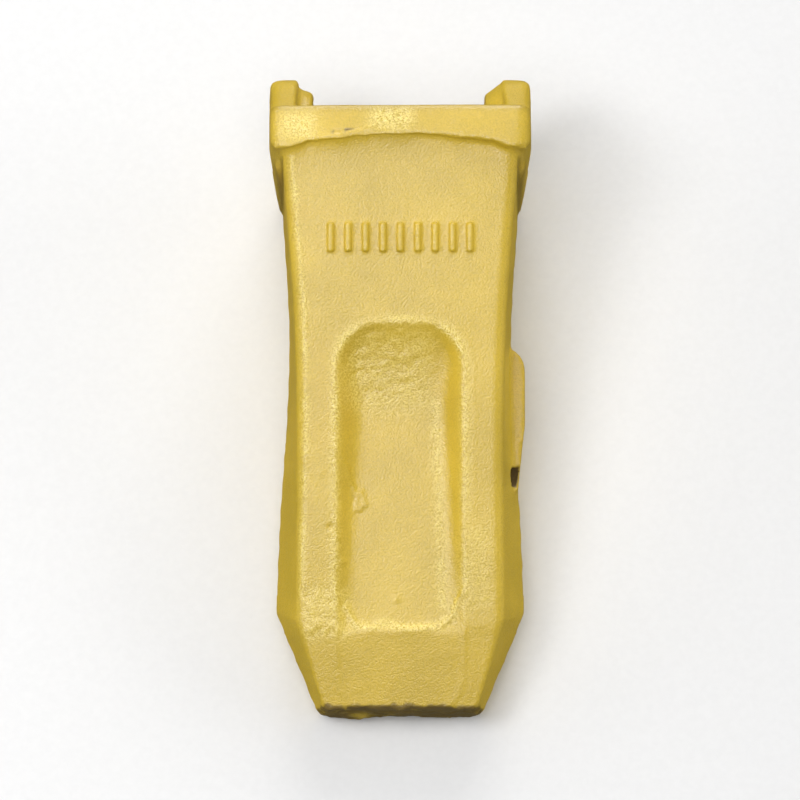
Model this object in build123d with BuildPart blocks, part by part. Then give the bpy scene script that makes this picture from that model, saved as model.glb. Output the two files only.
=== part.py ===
"""Bucket tooth for an excavator: a cast tip, its side pin and the pin's retainer.

Frame, in millimetres: the origin is the centre of the locking pin's hole, on the tooth's centre plane.
+X runs along the pin to the right, +Y back towards the adapter, +Z up from the flat wear face.
"""

from build123d import *

import os
from math import cos, radians, sqrt, tan

# ---- overall ----
FLOOR_Z = -58.0  # flat wear face that the tooth lies on
BIT_Y = -288.5  # cutting end
BIT_TOP_Z = -29.0  # upper edge of the cutting end
BIT_CORNER = 5.0
MOUTH_Y = -2.0  # rear face of the box, around the socket's mouth
CUT_CLEARANCE = 5.0  # how far a cut runs past the metal
THROUGH = 200.0  # more than the tooth's width, for cuts that go right through it

# ---- planes that the body is lofted between: wear face, parting plane and top face ----
PARTING_SLOPE = 8.8  # degrees, rising towards the rear through the origin
TOP_SLOPE = 16.0
TOP_Y, TOP_Z = -11.0, 55.0  # a point on the top face
FACET_Y = -249.0  # where the top face breaks into the steeper front facet

# ---- half widths of the body at the stations, at the shoulder and at the bit ----
STATIONS_Y = (MOUTH_Y, -27.0, -46.0, -100.0, -165.0)
TOP_HALF = (59.4, 58.2, 56.6, 52.4, 50.4, 50.6, 36.8)
PARTING_HALF = (62.5, 60.6, 59.3, 56.2, 58.9, 62.3, 40.9)
BOTTOM_HALF = (60.0, 58.0, 56.0, 53.5, 55.0, 57.5, 39.0)
TOP_SHOULDER_Y, PARTING_SHOULDER_Y, BOTTOM_SHOULDER_Y = -247.0, -238.5, -236.0
TOP_EDGE_RADIUS, BOTTOM_EDGE_RADIUS = 6.0, 4.0

# ---- collar and ears ----
COLLAR_TOP_Z = 59.0
COLLAR_FRONT_Y = -16.3  # front edge of the collar on the centre plane
COLLAR_CORNER_Y = -25.6  # and at its sides
COLLAR_TOP_HALF, COLLAR_BOTTOM_HALF = 64.4, 61.0
COLLAR_TOP_RADIUS, COLLAR_BOTTOM_RADIUS = 8.0, 6.0
COLLAR_REAR_RADIUS = 3.0
EAR_RADIUS = 31.0
EAR_ROOT_Y, EAR_ROOT_Z = -23.0, 46.0  # front corners of the ears' side profile, inside the collar's front
BOSS_HALF = 66.8  # outer face of the ears, at the pin's height
BOSS_FLANK_RADIUS = 78.0  # the bosses' outer faces curve in towards the front
BOSS_FLANK_END_Y, BOSS_FRONT_RADIUS = -38.5, 13.0
EAR_CORNER_RADIUS = 7.0
EAR_INNER_HALF = 52.1  # inner face of the plain part of each ear
LOBE_ROOT_RADIUS, LOBE_ROOT_DEPTH = 30.0, 1.0  # the lobes start just inside the ears' edge and face
RAMP_LOBE_X, RAMP_LOBE_RADIUS = 43.2, 23.5  # right ear: straight lead-in ramp around the hole
POCKET_LOBE_X, POCKET_LOBE_RADIUS = 44.3, 22.4  # left ear: rounded lobe that holds the retainer
POCKET_LOBE_WAIST = (-48.4, 25.6), (-45.1, 24.3)  # where its flank turns over, as (x, radius)

# ---- socket for the adapter's nose ----
SOCKET_REAR_Y = 4.0  # the cutter starts behind the mouth
SOCKET_END_Y = -140.0
SOCKET_FLOOR_Z = -44.0
SOCKET_MOUTH_HALF, SOCKET_MOUTH_TOP_Z = 42.5, 45.0
SOCKET_END_HALF, SOCKET_END_TOP_Z = 31.0, -6.0
SOCKET_CORNER = 8.0

# ---- scoop in the top face: a drafted pocket, ramped at the rear, whose floor runs out towards the bit ----
SCOOP_REAR_Y, SCOOP_FRONT_Y = -105.3, -251.0
SCOOP_HALF, SCOOP_CORNER = 30.4, 21.5
SCOOP_DRAFT = 42.0  # degrees, slope of the walls away from square
SCOOP_FLOOR_SLOPE = 11.7
SCOOP_RAMP_Y, SCOOP_RAMP_Z = -150.0, 5.1  # where the floor starts to curve up to the rear rim
SCOOP_CUT_DEPTH, SCOOP_CUT_HEIGHT = 14.0, 4.0  # of the cutter, below and above the top face
SCOOP_ROOT_RADIUS = 8.0

# ---- pin and its retainer ----
PIN_RADIUS = 13.0
PIN_HOLE_RADIUS = 13.5
PIN_LEFT_X, PIN_RIGHT_X = -62.0, 65.0
PIN_CHAMFER = 2.5
GROOVE_RADIUS = 11.0
GROOVE_LEFT_X, GROOVE_RIGHT_X = -53.5, -44.8
POCKET_RADIUS, POCKET_LEFT_X = 19.0, -54.5
RING_INNER, RING_OUTER = 11.3, 15.3
RETAINER_LEFT_X, RETAINER_RIGHT_X = -53.0, -45.3
RING_GAP = 4.0
RING_CHAMFER = 0.6
CUSHION_INNER, CUSHION_OUTER, CUSHION_CORNER = 15.5, 18.8, 1.0

# ---- cast-on details ----
PAD_ROOT_X = 50.0  # the pad's outline is drawn as (x, y) points on the parting plane
PAD_REAR, PAD_TAPER, PAD_WAIST, PAD_FRONT = (62.9, -107.0), (62.9, -147.0), (61.2, -161.0), (59.4, -180.0)
PAD_HALF_HEIGHT, PAD_CORNER = 10.0, 12.0
BLOWHOLE_RADIUS = 3.6
BLOWHOLE_CENTRE = (57.3, -172.5, -16.5)
MARK_Y, MARK_HEIGHT, MARK_WIDTH = -64.3, 14.0, 2.8
MARK_RELIEF, MARK_ROOT, MARK_DRAFT = 1.6, 1.0, 8.0
MARK_COUNT, MARK_PITCH = 9, 8.6


def top_z(y):
    """Height of the top face at y."""
    return TOP_Z + (y - TOP_Y) * tan(radians(TOP_SLOPE))


def sloping_plane(y, z, slope):
    """Plane through (0, y, z) whose own Y axis rises towards the rear by slope degrees."""
    return Plane(origin=(0, y, z), x_dir=(1, 0, 0), z_dir=(0, -tan(radians(slope)), 1))


def along(y, y_origin, slope):
    """Distance from y_origin to y measured along that slope."""
    return (y - y_origin) / cos(radians(slope))


def body_outline(y_origin, z_origin, slope, half, shoulder_y):
    """Plan outline of the body on a sloping plane: waisted, then chamfered from shoulder to bit."""
    ys = [along(y, y_origin, slope) for y in (*STATIONS_Y, shoulder_y, BIT_Y)]
    with BuildSketch(sloping_plane(y_origin, z_origin, slope)) as outline:
        with BuildLine():
            flank = Spline(*zip(half[:-1], ys[:-1]))
            taper = Line(flank @ 1, (half[-1], ys[-1]))
            Line(taper @ 1, (0, ys[-1]))
            Line(flank @ 0, (0, ys[0]))
            mirror(about=Plane.YZ)
        make_face()
        corners = outline.vertices().group_by(Axis.Y)[0]
        fillet(corners.filter_by(lambda v: abs(v.X) > BIT_CORNER), BIT_CORNER)
    return outline.sketch


# ---- rear end: collar band and the two ears, before the socket is taken out ----
with BuildPart() as rear_end:
    with BuildSketch(Plane.XY.offset(FLOOR_Z)):
        with BuildLine():
            Polyline((-BOSS_HALF, COLLAR_CORNER_Y), (-BOSS_HALF, MOUTH_Y), (BOSS_HALF, MOUTH_Y),
                     (BOSS_HALF, COLLAR_CORNER_Y))
            front = (0, COLLAR_FRONT_Y)
            ThreePointArc((BOSS_HALF, COLLAR_CORNER_Y), front, (-BOSS_HALF, COLLAR_CORNER_Y))
        make_face()
    extrude(amount=COLLAR_TOP_Z - FLOOR_Z)
    fillet(rear_end.edges().group_by(Axis.Z)[-1].sort_by(Axis.Y)[-1], COLLAR_REAR_RADIUS)
    # side profile: tangents run from the box back to the ears' round and forward to the bosses' round
    with BuildSketch(Plane.YZ):
        Circle(EAR_RADIUS)
        with Locations(((MOUTH_Y + EAR_ROOT_Y) / 2, 0)):
            Rectangle(MOUTH_Y - EAR_ROOT_Y, 2 * EAR_ROOT_Z)
        with Locations((BOSS_FLANK_END_Y + BOSS_FRONT_RADIUS, 0)):
            Circle(BOSS_FRONT_RADIUS)
        make_hull()
    extrude(amount=BOSS_HALF, both=True)
    # section across the tooth, drafted from the pin's height both ways
    with BuildSketch(Plane.XZ) as section:
        with BuildLine():
            Polyline((0, FLOOR_Z), (COLLAR_BOTTOM_HALF, FLOOR_Z), (BOSS_HALF, 0),
                     (COLLAR_TOP_HALF, COLLAR_TOP_Z), (0, COLLAR_TOP_Z))
            mirror(about=Plane.YZ)
        make_face()
        fillet(section.vertices().group_by(Axis.Y)[-1], COLLAR_TOP_RADIUS)
        fillet(section.vertices().group_by(Axis.Y)[0], COLLAR_BOTTOM_RADIUS)
    extrude(amount=THROUGH, both=True, mode=Mode.INTERSECT)
    # outer faces of the ears and bosses in plan
    with BuildSketch(Plane.XY) as flanks:
        with BuildLine():
            flank_half = BOSS_HALF - BOSS_FLANK_RADIUS + sqrt(BOSS_FLANK_RADIUS**2 - BOSS_FLANK_END_Y**2)
            Polyline((0, EAR_RADIUS), (BOSS_HALF, EAR_RADIUS), (BOSS_HALF, 0))
            RadiusArc((BOSS_HALF, 0), (flank_half, BOSS_FLANK_END_Y), BOSS_FLANK_RADIUS)
            Line((flank_half, BOSS_FLANK_END_Y), (0, BOSS_FLANK_END_Y))
            mirror(about=Plane.YZ)
        make_face()
        fillet(flanks.vertices().group_by(Axis.Y)[-1], EAR_CORNER_RADIUS)
    extrude(amount=THROUGH, both=True, mode=Mode.INTERSECT)

# ---- scoop cutter ----
top_plane = sloping_plane(TOP_Y, TOP_Z, TOP_SLOPE)
with BuildPart() as scoop:
    # drafted walls; the outline is drawn above the top face, wider by what the draft takes off there
    with BuildSketch(top_plane.offset(SCOOP_CUT_HEIGHT)):
        widening = SCOOP_CUT_HEIGHT * tan(radians(SCOOP_DRAFT))
        half = SCOOP_HALF + widening
        rear = along(SCOOP_REAR_Y, TOP_Y, TOP_SLOPE) + widening
        front = along(SCOOP_FRONT_Y, TOP_Y, TOP_SLOPE) - widening
        with BuildLine():
            FilletPolyline((0, rear), (half, rear), (half, front), radius=SCOOP_CORNER + widening)
            Line((half, front), (0, front))
            mirror(about=Plane.YZ)
        make_face()
    extrude(amount=-SCOOP_CUT_HEIGHT - SCOOP_CUT_DEPTH, taper=SCOOP_DRAFT)
    # floor and rear ramp
    with BuildSketch(Plane.YZ):
        with BuildLine():
            floor = PolarLine((SCOOP_RAMP_Y, SCOOP_RAMP_Z), BIT_Y - SCOOP_RAMP_Y, SCOOP_FLOOR_SLOPE)
            rim = (SCOOP_REAR_Y, top_z(SCOOP_REAR_Y))
            ramp = TangentArc(floor @ 0, rim, tangent=-(floor % 0))
            lead_out = PolarLine(ramp @ 1, SCOOP_CORNER, direction=ramp % 1)
            Polyline(lead_out @ 1, (BIT_Y, TOP_Z), floor @ 1)
        make_face()
    extrude(amount=THROUGH, both=True, mode=Mode.INTERSECT)
    scoop_floor = scoop.faces().filter_by(GeomType.PLANE).sort_by(SortBy.AREA)[-2]
    side_edges = scoop_floor.edges().filter_by(lambda e: abs(e.center().X) > SCOOP_CORNER / 2)
    fillet(side_edges, SCOOP_ROOT_RADIUS)

# ---- tip casting ----
with BuildPart() as tip_casting:
    # wedge body between its three outlines
    loft([body_outline(0, FLOOR_Z, 0, BOTTOM_HALF, BOTTOM_SHOULDER_Y),
          body_outline(0, 0, PARTING_SLOPE, PARTING_HALF, PARTING_SHOULDER_Y),
          body_outline(TOP_Y, TOP_Z, TOP_SLOPE, TOP_HALF, TOP_SHOULDER_Y)], ruled=True)
    top_face = tip_casting.faces().sort_by(Axis.Z)[-1]
    fillet(top_face.edges().filter_by(lambda e: abs(e.center().X) > SCOOP_HALF), TOP_EDGE_RADIUS)
    wear_face = tip_casting.faces().sort_by(Axis.Z)[0]
    fillet(wear_face.edges().filter_by(lambda e: abs(e.center().X) > SCOOP_HALF), BOTTOM_EDGE_RADIUS)
    # front facet, steeper than the top face
    with BuildSketch(Plane.YZ):
        with BuildLine():
            clear_y = BIT_Y - CUT_CLEARANCE
            Polyline((FACET_Y, top_z(FACET_Y)), (BIT_Y, BIT_TOP_Z), (clear_y, BIT_TOP_Z),
                     (clear_y, TOP_Z), (FACET_Y, TOP_Z), close=True)
        make_face()
    extrude(amount=THROUGH, both=True, mode=Mode.SUBTRACT)
    add(rear_end.part)
    add(scoop.part, mode=Mode.SUBTRACT)
    # the gap between the ears
    with BuildSketch(Plane.XZ.offset(-MOUTH_Y)):
        Rectangle(2 * EAR_INNER_HALF, THROUGH)
    extrude(amount=-THROUGH, mode=Mode.SUBTRACT)
    # the lobes around the pin's hole
    root_x = EAR_INNER_HALF + LOBE_ROOT_DEPTH
    with BuildSketch(Plane.XY):
        with BuildLine():
            Polyline((EAR_INNER_HALF, LOBE_ROOT_RADIUS), (RAMP_LOBE_X, RAMP_LOBE_RADIUS), (RAMP_LOBE_X, 0),
                     (root_x, 0), (root_x, LOBE_ROOT_RADIUS), close=True)
        make_face()
    revolve(axis=Axis.X)
    with BuildSketch(Plane.XY):
        with BuildLine():
            root = (-EAR_INNER_HALF, LOBE_ROOT_RADIUS)
            crest = (-POCKET_LOBE_X, POCKET_LOBE_RADIUS)
            Spline(root, *POCKET_LOBE_WAIST, crest)
            Polyline(crest, (-POCKET_LOBE_X, 0), (-root_x, 0), (-root_x, LOBE_ROOT_RADIUS), root)
        make_face()
    revolve(axis=Axis.X)
    # socket for the adapter's nose
    with BuildSketch(Plane.XZ.offset(-SOCKET_REAR_Y)):
        with Locations((0, (SOCKET_MOUTH_TOP_Z + SOCKET_FLOOR_Z) / 2)):
            RectangleRounded(2 * SOCKET_MOUTH_HALF, SOCKET_MOUTH_TOP_Z - SOCKET_FLOOR_Z, SOCKET_CORNER)
    with BuildSketch(Plane.XZ.offset(-SOCKET_END_Y)):
        with Locations((0, (SOCKET_END_TOP_Z + SOCKET_FLOOR_Z) / 2)):
            RectangleRounded(2 * SOCKET_END_HALF, SOCKET_END_TOP_Z - SOCKET_FLOOR_Z, SOCKET_CORNER)
    loft(ruled=True, mode=Mode.SUBTRACT)
    # pin's hole, and the retainer's pocket in the left ear
    with BuildSketch(Plane.YZ):
        Circle(PIN_HOLE_RADIUS)
    extrude(amount=THROUGH, both=True, mode=Mode.SUBTRACT)
    with BuildSketch(Plane.YZ.offset(POCKET_LEFT_X)):
        Circle(POCKET_RADIUS)
    extrude(amount=POCKET_RADIUS, mode=Mode.SUBTRACT)
    # side pad where the metal was poured in, and the blowhole at its front end
    with BuildSketch(sloping_plane(0, 0, PARTING_SLOPE)) as pad:
        with BuildLine():
            Polyline((PAD_ROOT_X, PAD_REAR[1]), PAD_REAR, PAD_TAPER, PAD_WAIST, PAD_FRONT,
                     (PAD_ROOT_X, PAD_FRONT[1]), close=True)
        make_face()
        fillet(pad.vertices().sort_by(Axis.Y)[-2:].sort_by(Axis.X)[-1], PAD_CORNER)
    extrude(amount=PAD_HALF_HEIGHT, both=True)
    with Locations(BLOWHOLE_CENTRE):
        Sphere(BLOWHOLE_RADIUS, mode=Mode.SUBTRACT)
    # raised marks
    with BuildSketch(top_plane.offset(-MARK_ROOT)):
        with Locations((0, along(MARK_Y, TOP_Y, TOP_SLOPE))):
            with GridLocations(MARK_PITCH, 1, MARK_COUNT, 1):
                Rectangle(MARK_WIDTH, MARK_HEIGHT)
    extrude(amount=MARK_ROOT + MARK_RELIEF, taper=MARK_DRAFT)

# ---- locking pin, with the groove that its retainer snaps into ----
with BuildPart() as locking_pin:
    with BuildSketch(Plane.XY):
        with BuildLine():
            Polyline((PIN_LEFT_X, 0), (PIN_LEFT_X, PIN_RADIUS - PIN_CHAMFER),
                     (PIN_LEFT_X + PIN_CHAMFER, PIN_RADIUS), (GROOVE_LEFT_X, PIN_RADIUS),
                     (GROOVE_LEFT_X, GROOVE_RADIUS), (GROOVE_RIGHT_X, GROOVE_RADIUS),
                     (GROOVE_RIGHT_X, PIN_RADIUS), (PIN_RIGHT_X - PIN_CHAMFER, PIN_RADIUS),
                     (PIN_RIGHT_X, PIN_RADIUS - PIN_CHAMFER), (PIN_RIGHT_X, 0), close=True)
        make_face()
    revolve(axis=Axis.X)

# ---- retainer: split spring-steel ring in the groove ----
with BuildPart() as retainer_ring:
    with BuildSketch(Plane.YZ.offset(RETAINER_LEFT_X)):
        Circle(RING_OUTER)
        Circle(RING_INNER, mode=Mode.SUBTRACT)
        with Locations((0, RING_OUTER)):
            Rectangle(RING_GAP, RING_OUTER, mode=Mode.SUBTRACT)
    extrude(amount=RETAINER_RIGHT_X - RETAINER_LEFT_X)
    chamfer(retainer_ring.faces().filter_by(Axis.X).edges().filter_by(GeomType.CIRCLE), RING_CHAMFER)

# ---- elastomer cushion between the ring and the pocket's wall ----
with BuildPart() as retainer_cushion:
    with BuildSketch(Plane.YZ.offset(RETAINER_LEFT_X)):
        Circle(CUSHION_OUTER)
        Circle(CUSHION_INNER, mode=Mode.SUBTRACT)
    extrude(amount=RETAINER_RIGHT_X - RETAINER_LEFT_X)
    fillet(retainer_cushion.faces().filter_by(Axis.X).edges(), CUSHION_CORNER)

pieces = {
    "tip_casting": tip_casting,
    "locking_pin": locking_pin,
    "retainer_ring": retainer_ring,
    "retainer_cushion": retainer_cushion,
}
os.makedirs("parts", exist_ok=True)
for name, piece in pieces.items():
    piece.part.label = name
    export_step(piece.part, f"parts/{name}.step")
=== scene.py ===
"""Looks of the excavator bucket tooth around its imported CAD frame.

Blender works in metres. The casting's places, reliefs and masks are worked out in millimetres.
"""

from math import cos, radians, sin, tan

import bmesh
import bpy
import numpy as np
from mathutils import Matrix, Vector


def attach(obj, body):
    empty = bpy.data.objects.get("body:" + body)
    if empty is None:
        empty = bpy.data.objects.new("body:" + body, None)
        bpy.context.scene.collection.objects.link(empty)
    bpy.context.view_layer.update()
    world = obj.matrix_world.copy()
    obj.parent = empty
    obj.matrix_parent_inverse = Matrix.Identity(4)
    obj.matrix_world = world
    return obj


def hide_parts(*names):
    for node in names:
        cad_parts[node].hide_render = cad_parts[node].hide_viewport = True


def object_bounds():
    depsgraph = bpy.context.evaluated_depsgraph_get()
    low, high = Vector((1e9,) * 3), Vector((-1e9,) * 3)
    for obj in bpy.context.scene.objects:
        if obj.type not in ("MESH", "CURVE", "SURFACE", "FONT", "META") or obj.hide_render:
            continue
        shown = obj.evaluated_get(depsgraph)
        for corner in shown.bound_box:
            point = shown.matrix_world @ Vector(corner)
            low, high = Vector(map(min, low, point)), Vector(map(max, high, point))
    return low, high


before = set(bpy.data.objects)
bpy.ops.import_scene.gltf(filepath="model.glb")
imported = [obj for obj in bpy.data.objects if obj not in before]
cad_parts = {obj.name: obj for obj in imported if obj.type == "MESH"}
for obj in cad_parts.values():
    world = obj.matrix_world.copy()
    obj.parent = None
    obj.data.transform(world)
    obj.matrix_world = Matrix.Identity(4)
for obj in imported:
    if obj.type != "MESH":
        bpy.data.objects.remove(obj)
cad_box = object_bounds()
MM = 0.001

# ---- the casting's shape, in millimetres ----
TOP_Y, TOP_Z, TOP_SLOPE = -11.0, 55.0, radians(16)  # a point on the top face, and its slope
TOP_BAND = 16  # what lies less than this below the top face's plane counts as the top, the scoop too
PARTING_SLOPE = radians(8.8)
SCOOP_REAR_Y, SCOOP_FRONT_Y, SCOOP_HALF, SCOOP_CORNER = -105.3, -251.0, 30.4, 21.5
SCOOP_OVERRUN = 40  # its side walls are drawn on past its front, where they have died out
COLLAR_TOP_Z, COLLAR_HALF = 59.0, 66.0
COLLAR_FRONT_Y, COLLAR_FRONT_RADIUS = -16.3, 244.6
BIT_Y = -288.5
EAR_INNER_X = 41
PAD_ROOT_X, PAD_REAR_Y, PAD_FRONT_Y, PAD_LOW_Z = 55, -95, -182, -38
BLOWHOLE = (57.3, -172.5, -16.5)

# ---- defects seen from above: lines of (x, y) points ----
LIP = ((-27, -240), (-22.6, -247.8), (-14.2, -250.6), (-8.3, -247.2), (1.6, -249.7), (12, -250.1),
       (19.9, -249.2), (25.9, -244), (31.0, -232.5))
LEFT_EDGE = ((-53.5, -28), (-51.5, -50), (-47.5, -100), (-46.8, -156), (-49.3, -236))
CRACK = ((-33.5, -15.6), (-31.5, -15.2), (-27.2, -14.6), (-24.7, -13.9), (-21.8, -13.0))
FOLD = ((-46, -19), (-34, -17.8), (-24, -16.6), (-17, -14.6), (-12, -12.4), (-7, -9.5), (-2, -5.5))
RUN = ((-27, -172), (-25.5, -178), (-23, -183))
# path where a glint is painted along the foot of the scoop's right wall
RIGHT_FOOT_GLINT = ((17, -140), (21, -238))

# ---- defects seen from above: patches, as lowest and highest (x, y) and how far they fade out; the scar patches also take painted glints ----
WRINKLED = ((-27, -134), (6, -108), 6)
RIPPLED = ((-28, -150), (20, -107), 8)
REAR_SCARS_AND_GLINTS = ((-24, -138), (10, -115), 8)
COLLAR_LEFT_LUMPS = ((-59, -19), (-42, -6), 3)
COLLAR_MIDDLE_LUMPS = ((-14, -12), (4, -4), 3)
COLLAR_LEFT_SCARS_AND_GLINTS = ((-55, -15), (-46, -9), 5)
COLLAR_MIDDLE_SCARS_AND_GLINTS = ((-11, -10), (2, -6), 5)
FRONT_LEFT_LUMPS = ((-46, -252), (-30, -236), 5)
FRONT_RIGHT_LUMPS = ((34, -252), (46, -225), 6)
FRONT_LEFT_SCARS_AND_GLINTS = ((-46, -252), (-28, -234), 4)
RIGHT_SCARS_AND_GLINTS = ((34, -236), (40, -205), 6)

# ---- single defects ----
PITS = ((-34.5, -201.6, 1.3, -0.9), (-1.8, -236.2, 1.6, 0.6), (-28.6, -218.3, 1.8, 0.6),
        (24.8, -11.6, 1.0, -0.5), (-39, -176, 1.6, 0.3), (31, -60, 1.5, -0.25))  # x, y, radius, height
DROP_X, DROP_Y, DROP_HALF_WIDTH, DROP_HALF_LENGTH = -19.7, -188.0, 3.6, 5.0
LUMP_X, LUMP_Z, LUMP_HALF_WIDTH, LUMP_HALF_HEIGHT = -18.9, -46, 5, 6  # on the bit's front face
# where shade is painted on the bosses, under the collar's corners
BOSS_SHADE_Y, BOSS_SHADE_X = -32, 58


def top_z(y):
    """Height of the top face at y."""
    return TOP_Z + (y - TOP_Y) * tan(TOP_SLOPE)


# ---- mesh helpers ----
def new_object(name, mesh):
    """A new object in the scene with this mesh."""
    obj = bpy.data.objects.new(name, mesh)
    bpy.context.scene.collection.objects.link(obj)
    return obj


def object_from(bm, name):
    """A new object with the bmesh's faces; the bmesh is freed."""
    mesh = bpy.data.meshes.new(name)
    bm.to_mesh(mesh)
    bm.free()
    return new_object(name, mesh)


def bridge(bm, low, high):
    """Quads between two closed loops with as many points each."""
    for k in range(len(low)):
        following = (k + 1) % len(low)
        bm.faces.new((low[k], low[following], high[following], high[k]))


def apply_modifiers(obj):
    """Replaces the object's mesh by what its modifiers make of it."""
    evaluated = obj.evaluated_get(bpy.context.evaluated_depsgraph_get())
    mesh = bpy.data.meshes.new_from_object(evaluated)
    obj.modifiers.clear()
    obj.data = mesh


def get_points(mesh):
    """The mesh's vertices as an array, one row each."""
    points = np.empty(len(mesh.vertices) * 3)
    mesh.vertices.foreach_get("co", points)
    return points.reshape(-1, 3)


def set_points(mesh, points):
    """Moves the mesh's vertices to the rows of points."""
    mesh.vertices.foreach_set("co", points.ravel())
    mesh.update()


def get_normals(mesh):
    """The mesh's vertex normals as an array, one row each."""
    normals = np.empty(len(mesh.vertices) * 3, dtype=np.float32)
    mesh.vertex_normals.foreach_get("vector", normals)
    return normals.reshape(-1, 3).astype(float)


def smooth_points(mesh, rounds, weight=0.5):
    """Laplacian smoothing; weight is a number or one value per vertex."""
    edges = np.empty(len(mesh.edges) * 2, dtype=np.int64)
    mesh.edges.foreach_get("vertices", edges)
    a, b = edges.reshape(-1, 2).T
    points = get_points(mesh)
    size = len(points)
    count = np.bincount(edges, minlength=size)[:, None]
    share = np.reshape(weight, (-1, 1))
    for _ in range(rounds):
        total = [np.bincount(a, axis[b], size) + np.bincount(b, axis[a], size) for axis in points.T]
        points += share * (np.stack(total, axis=1) / count - points)
    set_points(mesh, points)


# ---- noise and shapes in numbers ----
def lattice(cell, seed):
    """Repeatable value from -1 to 1 for each integer cell."""
    h = (cell[:, 0] * 73856093) ^ (cell[:, 1] * 19349663) ^ (cell[:, 2] * 83492791) ^ (seed * 2654435761)
    h = (h ^ (h >> 13)) * 1274126177
    h = (h ^ (h >> 16)) & 0xFFFFFF
    return h / 0x7FFFFF - 1.0


def noise(points, size, seed):
    """Smooth noise from -1 to 1 in lumps about size across; size may differ along X, Y and Z."""
    p = points / np.asarray(size, dtype=float)
    cell = np.floor(p).astype(np.int64)
    f = p - cell
    f = f * f * (3 - 2 * f)
    total = np.zeros(len(p))
    for corner in np.ndindex(2, 2, 2):
        share = np.prod(np.where(corner, f, 1 - f), axis=1)
        total += share * lattice(cell + np.array(corner), seed)
    return total


def near(distance, reach):
    """1 at distance 0, falling smoothly to nothing at about twice reach."""
    return np.exp(-(distance / reach) ** 2)


def ramp(value, low, high):
    """0 below low, 1 above high, smooth between."""
    t = np.clip((value - low) / (high - low), 0, 1)
    return t * t * (3 - 2 * t)


def block(p, low, high, soft):
    """1 inside a box in plan given by two (x, y) corners, fading out over soft."""
    low, high = np.array(low), np.array(high)
    outside = np.maximum(np.maximum(low - p[:, :2], p[:, :2] - high), 0)
    return near(np.linalg.norm(outside, axis=1), soft)


def distance_to_path(p, path):
    """Distance in plan from each point to a polyline of (x, y) points."""
    best = np.full(len(p), np.inf)
    for start, end in zip(path, path[1:]):
        start, end = np.array(start), np.array(end)
        run = end - start
        t = np.clip((p[:, :2] - start) @ run / (run @ run), 0, 1)
        best = np.minimum(best, np.linalg.norm(p[:, :2] - start - t[:, None] * run, axis=1))
    return best


def scoop_distance(p):
    """Signed distance in plan from the scoop's rim, negative inside."""
    middle = (SCOOP_REAR_Y + SCOOP_FRONT_Y - SCOOP_OVERRUN) / 2
    core = np.array([SCOOP_HALF, SCOOP_REAR_Y - middle]) - SCOOP_CORNER
    q = np.abs(p[:, :2] - (0, middle)) - core
    return np.linalg.norm(np.maximum(q, 0), axis=1) + np.minimum(q.max(axis=1), 0) - SCOOP_CORNER


def blowhole_distance(p):
    """Distance from the middle of the ragged blowhole at the pad's front end."""
    return np.linalg.norm(p - np.array(BLOWHOLE), axis=1) + 1.2 * noise(p, 2.5, seed=26)


def lump_closeness(p):
    """1 at the middle of the lump low on the bit's front face, falling to nothing outside it."""
    x, _, z = p.T
    away = np.hypot((x - LUMP_X) / LUMP_HALF_WIDTH, (z - LUMP_Z) / LUMP_HALF_HEIGHT)
    return near(away + 0.3 * noise(p, 3, seed=32), 0.9)


def ridge_noise(p):
    """Noise whose zero lines are the ridges torn across the bit's front face."""
    return noise(p, (18, 9, 5), seed=30)


def facing_up(n):
    """1 where the surface looks up, as the top face does."""
    return ramp(n[:, 2], 0.45, 0.75)


# ---- skin of the casting ----
VOXEL = 0.002  # metres


def seen_from_above(p, n):
    """The casting's outer upper surfaces and the bit's front face, which get a finer mesh."""
    x, y, z = p.T
    upper = (n[:, 2] > 0.15) & (z > top_z(y) - TOP_BAND - 1) & (y < 4)
    ears = (n[:, 2] > 0.0) & (y > -3) & (z > 0) & (np.abs(x) > EAR_INNER_X)
    bit = (y < BIT_Y + 4) & (n[:, 1] < -0.3)
    pad = (n[:, 2] > 0.2) & (x > PAD_ROOT_X) & (y < PAD_REAR_Y) & (y > PAD_FRONT_Y) & (z > PAD_LOW_Z)
    return upper | ears | bit | pad


def subdivide_seen(mesh):
    """Halves the edges of the faces that the photograph shows."""
    bm = bmesh.new()
    bm.from_mesh(mesh)
    centres = np.array([f.calc_center_median() for f in bm.faces]) / MM
    normals = np.array([f.normal for f in bm.faces])
    chosen = seen_from_above(centres, normals)
    edges = {e for f, take in zip(bm.faces, chosen) if take for e in f.edges}
    bmesh.ops.subdivide_edges(bm, edges=list(edges), cuts=1, use_grid_fill=True)
    bm.to_mesh(mesh)
    bm.free()


def fill_step(mesh):
    """Evens out the step up to the collar, most at the left, and lets its edges wander."""
    p = get_points(mesh) / MM
    x, y, z = p.T
    edge_y = COLLAR_FRONT_Y - COLLAR_FRONT_RADIUS + np.sqrt(COLLAR_FRONT_RADIUS ** 2 - x ** 2)
    face_z = top_z(np.minimum(y, edge_y))
    ahead = edge_y - y
    risen = np.clip((z - face_z) / (COLLAR_TOP_Z - face_z), 0, 1)
    left = 1 - ramp(x, -20, 45)
    within = ramp(COLLAR_HALF - np.abs(x), 0, 8)
    upper = within * (z > face_z - 4)

    fillet = 1.5 + 1.2 * left + 0.5 * noise(p, 12, seed=21)
    fillet *= ramp(ahead, -1, 0) * np.exp(-np.maximum(ahead, 0) / 4.5)
    sink = (0.4 + 1.2 * left) * (y < 0)
    p[:, 2] += upper * (fillet * (1 - risen) - sink * risen)

    along_x = p * (1, 0, 0)
    wander = 0.6 * noise(along_x, 9, seed=29) + 0.4 * noise(along_x, 3.5, seed=33)
    p[:, 1] += wander * upper * near(ahead, 4.0)
    p[:, 1] += ramp(y, -7, -2) * ramp(z, 48, 54) * within
    set_points(mesh, p * MM)


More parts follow.
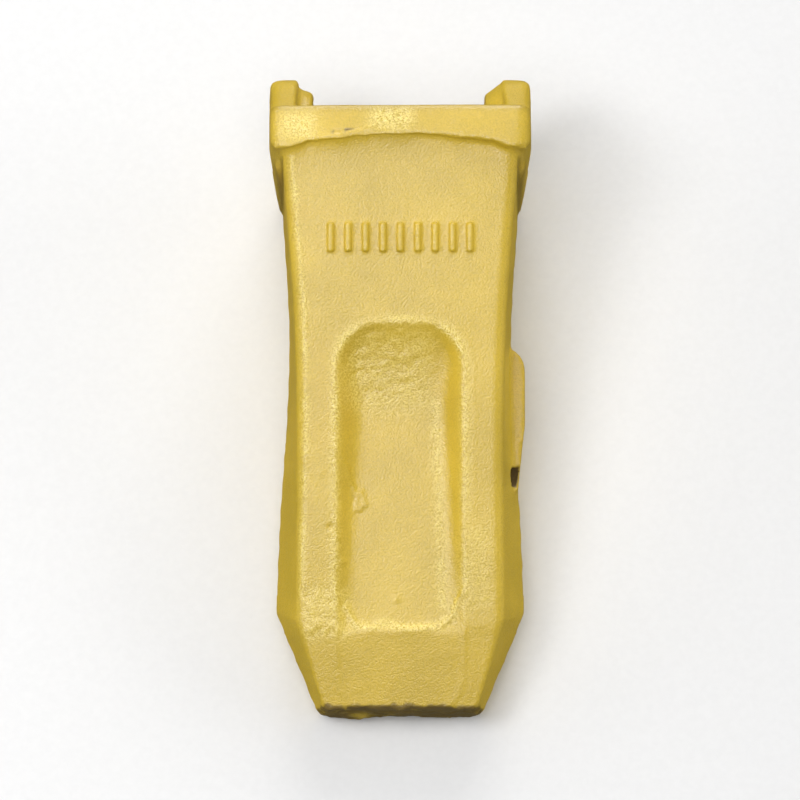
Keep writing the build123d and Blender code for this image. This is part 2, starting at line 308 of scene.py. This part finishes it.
def wear_edges(mesh):
    """Smooths the skin where the casting's edges are worn or were never sharp."""
    p, n = get_points(mesh) / MM, get_normals(mesh)
    (x, y, z), rim = p.T, scoop_distance(p)
    scoop_rim = near(rim - 0.5, 4.0) * (z > top_z(y) - 6)
    scoop_foot = near(rim + 11.0, 6.0) * (z > top_z(y) - TOP_BAND)
    ears = ramp(np.abs(x), 57, 63) * ramp(y, 2, 8) * ramp(z, -5, 5)
    collar_corners = near(np.hypot(np.abs(x) - 64, y + 24), 5) * ramp(z, 35, 45)
    scoop_front = ramp(-y, 205, 240) * ramp(y, -250, -244) * (n[:, 2] > 0.5) * near(rim + 8.0, 8.0)
    for rounds, share in ((14, scoop_rim), (12, scoop_foot), (40, ears), (30, collar_corners),
                          (60, scoop_front)):
        smooth_points(mesh, rounds, 0.5 * share)


def make_skin():
    """A dense copy of the casting's surface, fine where it is seen, with its edges worn round."""
    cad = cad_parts["tip_casting"]
    skin = new_object("casting_skin", cad.data.copy())
    skin.data.materials.clear()
    remesh = skin.modifiers.new("voxels", "REMESH")
    remesh.mode = "VOXEL"
    remesh.voxel_size = VOXEL
    apply_modifiers(skin)
    subdivide_seen(skin.data)
    wrap = skin.modifiers.new("wrap", "SHRINKWRAP")
    wrap.target = cad
    wrap.wrap_method = "NEAREST_SURFACEPOINT"
    apply_modifiers(skin)
    smooth_points(skin.data, 2)
    fill_step(skin.data)
    wear_edges(skin.data)
    return skin


# ---- what casting, pouring and fettling left on the surface: heights along the normal ----
def rim_relief(p):
    """Raised edges round the scoop, at its front lip and along the top face's left side."""
    rim = scoop_distance(p)
    lift = 0.30 * near(rim - 1.2, 1.7) * (1 + 0.5 * noise(p, 3.5, seed=12))
    lift += 0.10 * near(rim - 6.0, 0.9) * (p[:, 0] > 20)
    lift += 0.30 * near(distance_to_path(p, LEFT_EDGE), 1.3)
    lift += 0.55 * near(distance_to_path(p, LIP), 1.4) * (1 + 0.7 * noise(p, 3, seed=8))
    return lift


def scoop_relief(p):
    """The scoop's wrinkled rear, and a drop and a run of metal frozen on its left wall."""
    inside = ramp(-scoop_distance(p), 0.5, 3)
    wrinkles = 0.30 * noise(p, (4.5, 3.0, 4.0), seed=4) + 0.20 * noise(p, 2.2, seed=5)
    lift = inside * block(p, *WRINKLED) * wrinkles
    lift += inside * block(p, *RIPPLED) * 0.10 * noise(p, 2.2, seed=25)
    drop = np.hypot((p[:, 0] - DROP_X) / DROP_HALF_WIDTH, (p[:, 1] - DROP_Y) / DROP_HALF_LENGTH)
    drop += 0.35 * noise(p, 2.5, seed=27)
    lift += 0.65 * ramp(1.1 - drop, 0, 0.35) * (1 - 0.35 * ramp(0.7 - drop, 0, 0.4))
    lift += 0.6 * near(distance_to_path(p, RUN), 1.2) * (1 + 0.6 * noise(p, 2.5, seed=13))
    return lift


def collar_relief(p):
    """A cold shut, a fold and lumpy patches across the collar's top."""
    broken = 0.55 + 0.45 * noise(p, 2.2, seed=14)
    lift = -1.2 * near(distance_to_path(p, CRACK), 0.7) * broken
    fold = distance_to_path(p, FOLD)
    lift += 0.45 * near(fold, 1.4) * (1 + 0.8 * noise(p, 2, seed=15)) - 0.25 * near(fold - 2.4, 1.0)
    lumps = 0.24 * noise(p, 2.2, seed=16) + 0.18 * noise(p, 4.5, seed=17)
    lift += block(p, *COLLAR_LEFT_LUMPS) * lumps
    lift += block(p, *COLLAR_MIDDLE_LUMPS) * 0.16 * noise(p, 2.2, seed=24)
    return lift + 0.10 * noise(p, 6, seed=7)


def top_defects(p):
    """Pits and pimples on the top face, and rougher skin beside the scoop's front corners."""
    lift = block(p, *FRONT_LEFT_LUMPS) * (0.32 * noise(p, 3.4, seed=6) + 0.15 * noise(p, 2.2, seed=18))
    lift += block(p, *FRONT_RIGHT_LUMPS) * 0.10 * noise(p, 3.4, seed=19)
    for x, y, radius, height in PITS:
        lift += height * near(np.hypot(p[:, 0] - x, p[:, 1] - y), radius)
    return lift


def bit_relief(p, n):
    """Torn ridges and a lump on the bit's front face."""
    face = ramp(-n[:, 1], 0.5, 0.9) * (p[:, 1] < BIT_Y + 4)
    torn = 0.8 * noise(p, 6, seed=9) + 0.5 * noise(p, 2.5, seed=10) - 0.8
    return face * (torn + 0.7 * near(ridge_noise(p), 0.12) + 2.0 * lump_closeness(p))


def flash_relief(p, n):
    """Flash along the mould's parting line on the flanks."""
    x, y, z = p.T
    flank = ramp(np.abs(n[:, 0]), 0.6, 0.9) * (np.abs(x) > 38)
    return flank * 0.35 * near(z - y * tan(PARTING_SLOPE), 0.9) * (0.6 + 0.6 * noise(p, 8, seed=11))


def surface_relief(p, n):
    """Height to add along the normal at each point of the skin."""
    z = p[:, 2]
    top = facing_up(n) * (z > top_z(p[:, 1]) - TOP_BAND)
    on_collar = ramp(z, COLLAR_TOP_Z - 2.5, COLLAR_TOP_Z - 1)
    lift = 0.16 * noise(p, 26, seed=1) + 0.05 * noise(p, 9, seed=2) + 0.025 * noise(p, 3.2, seed=3)
    lift += top * (1 - on_collar) * (rim_relief(p) + scoop_relief(p))
    lift += top * (on_collar * collar_relief(p) + top_defects(p))
    lift += bit_relief(p, n) + flash_relief(p, n)
    return lift - 1.2 * ramp(5.4 - blowhole_distance(p), 0, 1.5)


# ---- masks for the paint, from 0 to 1 ----
def painted_shade(p, n):
    """Where shade is painted dark: the crack, blowhole, bosses under the collar, collar's rear edge and
    bit's front face.
    """
    x, y, z = p.T
    crack = near(distance_to_path(p, CRACK) + 0.4 * noise(p, 1.6, seed=14), 0.6)
    crack *= facing_up(n) * ramp(noise(p, 2.4, seed=22), -0.4, 0.3) * (z > COLLAR_TOP_Z - 4)
    blowhole = ramp(5.2 - blowhole_distance(p), 0, 1.2)
    bosses = near(y - BOSS_SHADE_Y, 8) * ramp(np.abs(n[:, 0]), 0.5, 0.8) * (np.abs(x) > BOSS_SHADE_X)
    rear_edge = near(y + 2, 2.5) + 0.7 * near(COLLAR_HALF - np.abs(x), 2.5)
    rear_edge = np.minimum(rear_edge, 1) * (z > 48)
    front = ramp(BIT_Y + 3.0 + 1.2 * noise(p, 3, seed=23) - y, 0, 1.4)
    ridges = near(ridge_noise(p), 0.07) * ramp(noise(p, 7, seed=31), -0.1, 0.4)
    front *= (1 - 0.6 * ridges) * (1 - lump_closeness(p))
    return np.maximum.reduce([crack, blowhole, 0.7 * bosses, 0.3 * rear_edge, 0.85 * front])


def scars_and_painted_glints(p, n):
    """Painted glints of bright speckle, with a stronger bump and less roughness: edges of the top face and
    scoop, and scarred patches.
    """
    y, z, rim = p[:, 1], p[:, 2], scoop_distance(p)
    collar = (block(p, *COLLAR_LEFT_SCARS_AND_GLINTS) + block(p, *COLLAR_MIDDLE_SCARS_AND_GLINTS)) * (z > COLLAR_TOP_Z - 4)
    scoop_rim = near(rim - 2.0, 2.8) * ramp(y, -252, -240) * (0.65 + 0.5 * noise(p, 14, seed=34))
    left_edge = near(distance_to_path(p, LEFT_EDGE), 2.2) * (0.7 + 0.5 * noise(p, 9, seed=35))
    foot = near(distance_to_path(p, RIGHT_FOOT_GLINT), 3.0) + near(distance_to_path(p, LIP) - 0.5, 2.4)
    foot *= (rim < -2) * (0.8 + 0.4 * noise(p, 5, seed=28)) * ramp(y, -253, -250)
    return facing_up(n) * np.maximum.reduce([
        collar, scoop_rim, 0.9 * left_edge, foot, 0.4 * block(p, *RIGHT_SCARS_AND_GLINTS),
        0.6 * block(p, *REAR_SCARS_AND_GLINTS) * (rim < 0), 0.5 * block(p, *FRONT_LEFT_SCARS_AND_GLINTS)])


def add_mask(mesh, name, values):
    """Stores one number per vertex, for the paint to read."""
    layer = mesh.attributes.new(name, "FLOAT", "POINT")
    layer.data.foreach_set("value", np.clip(values, 0, 1).astype(np.float32))


def roughen(mesh):
    """Stores the masks for painted shade and for scars with painted glints, then raises the relief."""
    p, n = get_points(mesh) / MM, get_normals(mesh)
    add_mask(mesh, "painted_shade", painted_shade(p, n))
    add_mask(mesh, "scars_and_glints", scars_and_painted_glints(p, n))
    set_points(mesh, (p + surface_relief(p, n)[:, None] * n) * MM)


# ---- raised cast marks on the top face, in millimetres ----
MARK_Y, MARK_HEIGHT, MARK_WIDTH = -64.3, 14.0, 2.8
MARK_COUNT, MARK_PITCH = 9, 8.6
MARK_CORNER, MARK_STEPS = 1.3, 24  # largest corner radius, and points round a mark
MARK_SECTION = ((-0.8, 0.7), (0.1, 0.6), (0.8, 0.35), (1.4, 0.0), (1.75, -0.4), (1.9, -0.9))  # height, out


def mark_outline(half_width, half_height):
    """Points round a rounded rectangle about the origin."""
    radius = min(half_width, MARK_CORNER) * 0.999  # short of a full half, so that no two points meet
    outline = []
    for k in range(MARK_STEPS):
        angle = 2 * np.pi * (k + 0.5) / MARK_STEPS
        outline.append((np.sign(cos(angle)) * (half_width - radius) + radius * cos(angle),
                        np.sign(sin(angle)) * (half_height - radius) + radius * sin(angle)))
    return outline


def make_marks():
    """One rounded bar for each mark, standing on the top face."""
    bm = bmesh.new()
    along = Vector((0, cos(TOP_SLOPE), sin(TOP_SLOPE)))
    up = Vector((0, -sin(TOP_SLOPE), cos(TOP_SLOPE)))
    for i in range(MARK_COUNT):
        foot = Vector(((i - (MARK_COUNT - 1) / 2) * MARK_PITCH, MARK_Y, top_z(MARK_Y)))
        loops = []
        for height, out in MARK_SECTION:
            outline = mark_outline(MARK_WIDTH / 2 + out, MARK_HEIGHT / 2 + out)
            points = [foot + Vector((x, 0, 0)) + along * y + up * height for x, y in outline]
            loops.append([bm.verts.new(point * MM) for point in points])
        for low, high in zip(loops, loops[1:]):
            bridge(bm, low, high)
        bm.faces.new(loops[-1])
        bm.faces.new(loops[0][::-1])
    return object_from(bm, "cast_marks")


# ---- cushion, in millimetres ----
CUSHION_LEFT_X, CUSHION_RIGHT_X, CUSHION_INNER, CUSHION_OUTER = -53.0, -45.3, 15.5, 18.8
CUSHION_RIBS = (1.3, 2.3)  # places of the outside ribs, from the middle
CUSHION_SEGMENTS = 96


def lathe(name, profile, segments):
    """Turns a closed profile of (x, r) points about the X axis."""
    bm = bmesh.new()
    rings = []
    for k in range(segments):
        angle = 2 * np.pi * k / segments
        points = [Vector((x, r * cos(angle), r * sin(angle))) for x, r in profile]
        rings.append([bm.verts.new(point * MM) for point in points])
    for ring, following in zip(rings, rings[1:] + rings[:1]):
        bridge(bm, ring, following)
    bmesh.ops.recalc_face_normals(bm, faces=bm.faces)
    return object_from(bm, name)


def make_cushion():
    """Moulded rubber ring: rounded lips, a groove in each end, shallow ribs and a mould line outside."""
    middle = (CUSHION_LEFT_X + CUSHION_RIGHT_X) / 2
    half = (CUSHION_RIGHT_X - CUSHION_LEFT_X) / 2
    inner, outer = CUSHION_INNER, CUSHION_OUTER
    right = [(0.0, outer), (0.25, outer), (0.4, outer - 0.2)]
    for rib in CUSHION_RIBS:
        right += [(rib - 0.35, outer - 0.35), (rib - 0.15, outer - 0.12),
                  (rib + 0.15, outer - 0.12), (rib + 0.35, outer - 0.35)]
    right += [(half - 0.8, outer - 0.25), (half - 0.3, outer - 0.5), (half, outer - 1.0),
              (half - 0.35, outer - 1.3), (half - 0.35, inner + 1.2), (half, inner + 0.9),
              (half - 0.2, inner + 0.3), (half - 0.8, inner)]
    left = [(-x, r) for x, r in right[:0:-1]]
    return lathe("cushion", [(middle + x, r) for x, r in right + left], CUSHION_SEGMENTS)


# ---- materials: texture scales are per metre ----
PAINT_DARK, PAINT_LIGHT = (0.56, 0.384, 0.019), (0.685, 0.472, 0.030)
# the second colour below is painted shade, for the crack, blowhole, bosses, collar's rear edge and bit's
# front face
PAINT_STAIN, PAINT_SHADE = (0.64, 0.38, 0.018), (0.12, 0.068, 0.001)
# colour of the painted glints
PAINT_GLINT = (0.95, 0.78, 0.22)
PIN_LIGHT, PIN_DARK, PIN_ROUGHNESS = (0.42, 0.41, 0.40), (0.20, 0.19, 0.18), 0.36
RING_LIGHT, RING_DARK, RING_ROUGHNESS = (0.10, 0.11, 0.14), (0.04, 0.045, 0.06), 0.32
RUBBER_LIGHT, RUBBER_DARK = (0.045, 0.044, 0.042), (0.012, 0.012, 0.013)
FLOOR_DARK, FLOOR_LIGHT = (0.80, 0.80, 0.80), (0.82, 0.82, 0.82)
WALL_DARK, WALL_LIGHT = (0.70, 0.70, 0.71), (0.74, 0.74, 0.74)


def node_material(name):
    """A new material and its shader, with helpers that add a node and link one of the shader's sockets."""
    material = bpy.data.materials.new(name)
    material.use_nodes = True
    tree = material.node_tree
    shader = tree.nodes["Principled BSDF"]

    def add(kind, sockets=(), **options):
        node = tree.nodes.new(kind)
        for key, value in options.items():
            setattr(node, key, value)
        for key, value in dict(sockets).items():
            if isinstance(value, bpy.types.NodeSocket):
                tree.links.new(value, node.inputs[key])
            else:
                node.inputs[key].default_value = value
        return node

    def link(output, socket):
        tree.links.new(output, shader.inputs[socket])

    return material, shader, add, link


def place_on(add):
    """The object's own coordinates."""
    return add("ShaderNodeTexCoord").outputs["Object"]


def texture(add, place, scale, detail=2, roughness=0.5):
    """Noise from 0 to 1."""
    sockets = {"Vector": place, "Scale": scale, "Detail": detail, "Roughness": roughness}
    return add("ShaderNodeTexNoise", sockets).outputs["Fac"]


def remap(add, value, low, high, start=0, end=1):
    """low where value is start, high where it is end, in line between."""
    sockets = {"Value": value, "From Min": start, "From Max": end, "To Min": low, "To Max": high}
    return add("ShaderNodeMapRange", sockets).outputs["Result"]


def maths(add, operation, *values):
    """What a math node makes of numbers and outputs."""
    return add("ShaderNodeMath", dict(enumerate(values)), operation=operation).outputs[0]


def colour_ramp(add, factor, *stops):
    """Colour by factor, from stops of (place, colour)."""
    node = add("ShaderNodeValToRGB", {"Fac": factor})
    for element, (place, colour) in zip(node.color_ramp.elements, stops):
        element.position, element.color = place, (*colour, 1)
    return node.outputs["Color"]


def blend_colour(add, factor, low, high):
    """low where factor is 0, the plain colour high where it is 1."""
    node = add("ShaderNodeMixRGB", {"Fac": factor, "Color1": low, "Color2": (*high, 1)})
    return node.outputs["Color"]


def bump(add, height, strength, distance):
    """Normals of a surface with this height, distance in metres."""
    sockets = {"Height": height, "Strength": strength, "Distance": distance}
    return add("ShaderNodeBump", sockets).outputs["Normal"]


def paint_material():
    """Golden semi-gloss paint sprayed over an as-cast surface, with painted shade and painted glints where
    masks say so.
    """
    material, shader, add, link = node_material("golden_paint")
    place = place_on(add)
    shade_amount = add("ShaderNodeAttribute", attribute_name="painted_shade").outputs["Fac"]
    scars_and_glints = add("ShaderNodeAttribute", attribute_name="scars_and_glints").outputs["Fac"]
    blotch = texture(add, place, 22, detail=4, roughness=0.6)
    grain = texture(add, place, 1100, roughness=0.6)
    dimple = texture(add, place, 420)
    stain = add("ShaderNodeTexNoise", {"Vector": place, "Scale": 14, "Detail": 2, "W": 3.7},
                noise_dimensions="4D").outputs["Fac"]

    tone = maths(add, "SUBTRACT", maths(add, "MULTIPLY_ADD", grain, 0.8, blotch), 0.4)
    colour = colour_ramp(add, tone, (0.33, PAINT_DARK), (0.67, PAINT_LIGHT))
    colour = blend_colour(add, remap(add, stain, 0, 0.5, start=0.60, end=0.75), colour, PAINT_STAIN)
    # painted highlight: bright speckle blended in where the scars mask is
    glint = maths(add, "MULTIPLY", remap(add, grain, 0, 0.9, start=0.40, end=0.62), scars_and_glints)
    colour = blend_colour(add, glint, colour, PAINT_GLINT)
    # painted shade: the colour goes dark where the shade mask is high
    link(blend_colour(add, shade_amount, colour, PAINT_SHADE), "Base Color")

    rough = maths(add, "MULTIPLY_ADD", scars_and_glints, -0.10, remap(add, grain, 0.32, 0.46))
    link(maths(add, "ADD", rough, remap(add, shade_amount, 0, 0.5, start=0.75)), "Roughness")
    height = maths(add, "MULTIPLY_ADD", dimple, 0.4, grain)
    link(bump(add, height, remap(add, scars_and_glints, 0.3, 0.42), 0.0015), "Normal")
    shader.inputs["IOR"].default_value = 1.9
    return material


def steel_material(name, light, dark, roughness):
    """Turned steel: fine rings round the pin's axis, with darker smears."""
    material, shader, add, link = node_material(name)
    place = place_on(add)
    stretched = add("ShaderNodeVectorMath", {0: place, 1: (1500, 25, 25)}, operation="MULTIPLY").outputs[0]
    rings = texture(add, stretched, 1)
    smear = texture(add, place, 60, detail=5, roughness=0.65)
    link(colour_ramp(add, smear, (0.35, dark), (0.65, light)), "Base Color")
    link(remap(add, smear, roughness - 0.1, roughness + 0.12), "Roughness")
    link(bump(add, rings, 0.25, 0.0001), "Normal")
    shader.inputs["Metallic"].default_value = 0.6
    return material


def rubber_material():
    """Matt moulded rubber with a dusty bloom."""
    material, _, add, link = node_material("moulded_rubber")
    bloom = texture(add, place_on(add), 180, detail=5, roughness=0.7)
    link(colour_ramp(add, bloom, (0.35, RUBBER_DARK), (0.75, RUBBER_LIGHT)), "Base Color")
    link(remap(add, bloom, 0.55, 0.8), "Roughness")
    link(bump(add, bloom, 0.3, 0.0002), "Normal")
    return material


def give(obj, material):
    """Leaves the object with this one material."""
    obj.data.materials.clear()
    obj.data.materials.append(material)


def shade_smooth(obj):
    """Smooth shading over the whole object."""
    for face in obj.data.polygons:
        face.use_smooth = True


# ---- pieces ----
paint = paint_material()
skin = make_skin()
roughen(skin.data)
give(skin, paint)
shade_smooth(skin)
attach(skin, "tip")
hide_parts("tip_casting")

marks = make_marks()
give(marks, paint)
shade_smooth(marks)
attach(marks, "tip")

give(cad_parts["locking_pin"], steel_material("pin_steel", PIN_LIGHT, PIN_DARK, PIN_ROUGHNESS))
give(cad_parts["retainer_ring"], steel_material("spring_steel", RING_LIGHT, RING_DARK, RING_ROUGHNESS))

cushion = make_cushion()
give(cushion, rubber_material())
shade_smooth(cushion)
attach(cushion, "retainer")
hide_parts("retainer_cushion")

# ---- stage, light and camera, in metres ----
FLOOR_HALF, FLOOR_GAP = 3.0, 0.0005  # half its side, and how far it is below the wear face
WALL_RADIUS, WALL_TOP, WALL_GAP, WALL_SIDES = 2.9, 3.0, 0.01, 96
WORLD_ABOVE, WORLD_BELOW = 0.17, 0.005  # strength of the surroundings
FADE_BELOW, FADE_ABOVE = -0.05, 0.25  # heights on the unit sphere between which they change
SOFTBOXES = (  # name, place from the centre, width, depth, power, whether glossy surfaces show it
    ("overhead", (-0.22, -0.18, 1.3), 1.15, 1.1, 10.1, True),
    ("key", (-0.70, -0.05, 1.15), 0.45, 0.45, 4.6, True),
    ("left", (-2.6, 0.35, 0.71), 2.36, 1.42, 16.7, False),
    ("right", (2.6, 0.12, 0.83), 2.6, 1.42, 27.5, False),
    ("rear", (0.24, 2.6, 1.14), 1.8, 1.8, 49.0, True),
)
CAMERA_AIM = (-0.0001, -0.0082, -0.0005)  # from the centre
CAMERA_AZIMUTH, CAMERA_ELEVATION, CAMERA_DISTANCE, FRAME_WIDTH = 0, 75, 1.6, 0.4
SENSOR_WIDTH = 36  # millimetres


def make_floor():
    """Pale floor just under the wear face."""
    half, z = FLOOR_HALF, cad_box[0][2] - FLOOR_GAP
    corners = [(-half, -half, z), (half, -half, z), (half, half, z), (-half, half, z)]
    mesh = bpy.data.meshes.new("floor")
    mesh.from_pydata(corners, [], [(0, 1, 2, 3)])
    floor = new_object("floor", mesh)
    material, shader, add, link = node_material("pale_floor")
    speckle = texture(add, place_on(add), 300)
    link(colour_ramp(add, speckle, (0.3, FLOOR_DARK), (0.7, FLOOR_LIGHT)), "Base Color")
    shader.inputs["Roughness"].default_value = 0.9
    give(floor, material)
    floor.visible_glossy = False  # its bounce lights the sides, but they don't mirror it


def make_backdrop():
    """Pale wall all round, outside the lights. It is only for the eye: it neither lights nor shades."""
    ring = []
    for k in range(WALL_SIDES):
        angle = 2 * np.pi * k / WALL_SIDES
        ring.append((WALL_RADIUS * cos(angle), WALL_RADIUS * sin(angle)))
    bm = bmesh.new()
    low, high = ([bm.verts.new((x, y, z)) for x, y in ring] for z in (cad_box[0][2] - WALL_GAP, WALL_TOP))
    bridge(bm, low, high)
    backdrop = object_from(bm, "backdrop")
    material, shader, add, link = node_material("pale_backdrop")
    cloud = texture(add, place_on(add), 0.5)
    link(colour_ramp(add, cloud, (0.3, WALL_DARK), (0.7, WALL_LIGHT)), "Emission Color")
    shader.inputs["Emission Strength"].default_value = 1.0
    shader.inputs["Base Color"].default_value = (0, 0, 0, 1)
    give(backdrop, material)
    backdrop.visible_diffuse = False
    backdrop.visible_glossy = False
    backdrop.visible_shadow = False


def turn_towards(obj, direction):
    """Points a light or a camera along direction, upright."""
    obj.rotation_euler = direction.to_track_quat("-Z", "Y").to_euler()


def make_light(name, place, aim, width, depth, power, mirrored):
    """An oval softbox at place, facing aim; mirrored says whether glossy surfaces show it."""
    data = bpy.data.lights.new(name, "AREA")
    data.shape = "ELLIPSE"
    data.size, data.size_y, data.energy = width, depth, power
    light = new_object(name, data)
    light.visible_glossy = mirrored
    light.location = place
    turn_towards(light, aim - place)


def make_world():
    """White surroundings, brighter above the horizon than below it."""
    world = bpy.data.worlds.new("studio")
    world.use_nodes = True
    nodes, links = world.node_tree.nodes, world.node_tree.links
    split = nodes.new("ShaderNodeSeparateXYZ")
    fade = nodes.new("ShaderNodeMapRange")
    fade.inputs["From Min"].default_value = FADE_BELOW
    fade.inputs["From Max"].default_value = FADE_ABOVE
    fade.inputs["To Min"].default_value = WORLD_BELOW
    fade.inputs["To Max"].default_value = WORLD_ABOVE
    links.new(nodes.new("ShaderNodeTexCoord").outputs["Generated"], split.inputs["Vector"])
    links.new(split.outputs["Z"], fade.inputs["Value"])
    links.new(fade.outputs["Result"], nodes["Background"].inputs["Strength"])
    nodes["Background"].inputs["Color"].default_value = (1, 1, 1, 1)
    bpy.context.scene.world = world


def make_camera(aim):
    """Camera looking at aim, with FRAME_WIDTH across the frame at its distance."""
    data = bpy.data.cameras.new("camera")
    data.sensor_width = SENSOR_WIDTH
    data.lens = SENSOR_WIDTH * CAMERA_DISTANCE / FRAME_WIDTH
    camera = new_object("camera", data)
    turn, rise = radians(CAMERA_AZIMUTH), radians(CAMERA_ELEVATION)
    out = Vector((-sin(turn) * cos(rise), -cos(turn) * cos(rise), sin(rise)))
    camera.location = aim + CAMERA_DISTANCE * out
    turn_towards(camera, -out)
    bpy.context.scene.camera = camera


centre = (Vector(cad_box[0]) + Vector(cad_box[1])) / 2
make_floor()
make_backdrop()
make_world()
for name, place, width, depth, power, mirrored in SOFTBOXES:
    make_light(name, centre + Vector(place), centre, width, depth, power, mirrored)
make_camera(centre + Vector(CAMERA_AIM))
bpy.context.scene.view_settings.view_transform = "Standard"
